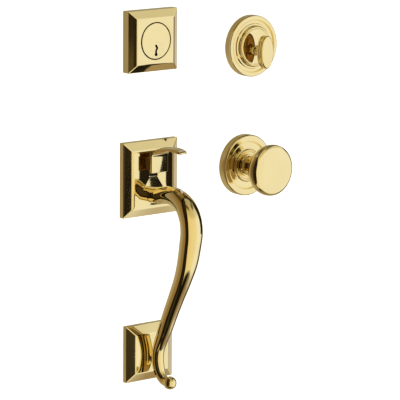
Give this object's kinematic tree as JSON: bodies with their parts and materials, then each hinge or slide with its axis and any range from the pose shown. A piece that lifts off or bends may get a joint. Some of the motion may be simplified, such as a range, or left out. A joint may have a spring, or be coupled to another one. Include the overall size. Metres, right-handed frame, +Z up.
{
  "type": "entry door handleset",
  "caption": "Entry door handleset: bevelled roses with keyed deadbolt cylinder and thumb latch grip outside, thumb turn and round knob on stepped roses inside.",
  "frame": {"origin": "centre of the upper grip rose on the door's plane, midway between the two posts behind it", "axes": "+X across the door from the outside units to the inside units, +Y into the door, +Z up"},
  "size_m": [0.199, 0.1171, 0.3839],
  "materials": {
    "polished_brass": "mirror polished and lacquered",
    "satin_brass": "turned",
    "steel": "zinc plated",
    "spring_steel": "oiled wire",
    "bronze": "sintered, oiled"
  },
  "bodies": {
    "door_side": {"deadbolt_rose": "polished_brass", "cylinder_housing": "polished_brass", "chamber_cover": "steel", "driver_pins": "steel", "pin_springs": "spring_steel", "upper_rose": "polished_brass", "upper_posts": "steel", "grip": "polished_brass", "grip_screw": "steel", "lower_rose": "polished_brass", "lower_post": "steel", "thumb_bracket": "steel", "bracket_screws": "steel", "thumb_pin": "steel", "thumb_spring": "spring_steel", "turn_rose": "polished_brass", "turn_plate": "steel", "turn_screws": "steel", "turn_washer": "bronze", "knob_rose": "polished_brass", "knob_plate": "steel", "knob_screws": "steel", "knob_bushing": "bronze"},
    "thumb": {"thumb_lever": "polished_brass", "lift_arm": "steel", "arm_rivets": "steel"},
    "plug": {"cylinder_plug": "satin_brass", "key_pins": "satin_brass", "plug_cap": "satin_brass", "cylinder_tailpiece": "steel"},
    "turn": {"turn_piece": "polished_brass", "turn_spindle": "steel", "turn_clip": "spring_steel"},
    "knob_set": {"knob": "polished_brass", "knob_spindle": "steel", "knob_set_screw": "steel", "knob_ring": "spring_steel"}
  },
  "joints": [
    {"name": "thumb_press", "type": "hinge", "parent": "door_side", "child": "thumb", "pos_m": [0, -0.0034, 0.014], "axis": [1, 0, 0], "range_deg": [0, 15], "stiffness_Nm_per_rad": 0.15, "springref_deg": -57.3, "deforming": ["thumb_spring"]},
    {"name": "plug_turn", "type": "hinge", "parent": "door_side", "child": "plug", "pos_m": [0, 0, 0.1312], "axis": [0, 1, 0], "range_deg": [-90, 90]},
    {"name": "thumb_turn", "type": "hinge", "parent": "door_side", "child": "turn", "pos_m": [0.1325, 0, 0.1194], "axis": [0, 1, 0], "range_deg": [-90, 90]},
    {"name": "knob_turn", "type": "hinge", "parent": "door_side", "child": "knob_set", "pos_m": [0.1259, 0, 0], "axis": [0, 1, 0], "range_deg": [-45, 45]}
  ]
}
